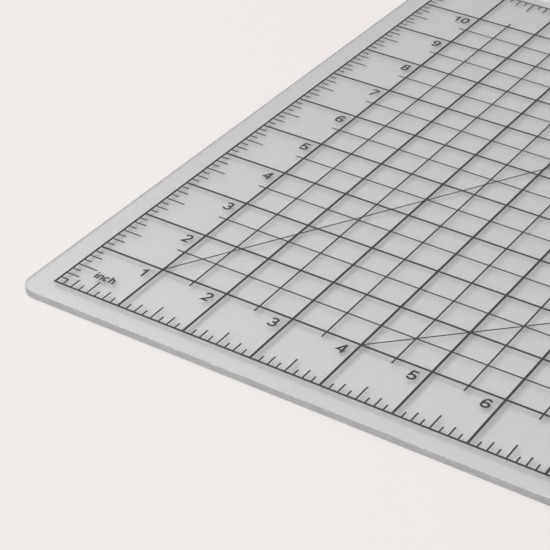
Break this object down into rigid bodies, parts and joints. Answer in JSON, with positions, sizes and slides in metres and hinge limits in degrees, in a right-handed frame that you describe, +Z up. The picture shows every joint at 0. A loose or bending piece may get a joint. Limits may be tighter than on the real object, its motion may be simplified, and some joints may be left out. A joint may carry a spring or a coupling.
{
  "type": "cutting mat",
  "caption": "Flat translucent grey self-healing cutting mat with rounded corners and a black printed inch grid, edge scales and angle guide lines.",
  "frame": {"origin": "middle of the underside, on the table", "axes": "+X along the long front edge, the way the front scale counts up; +Y away from the front edge; +Z up out of the printed face"},
  "size_m": [0.4494, 0.298, 0.0027],
  "materials": {
    "face_ply": "fine matte, hazy see-through plastic",
    "core_ply": "hazy see-through plastic",
    "ink": "matte black screen print"
  },
  "bodies": {
    "root": {"bottom_ply": "face_ply", "core_ply": "core_ply", "top_ply": "face_ply", "print_border_and_scales": "ink", "print_inch_lines": "ink", "print_half_inch_lines": "ink", "print_guide_line_45": "ink", "print_guide_line_60": "ink"}
  },
  "joints": []
}
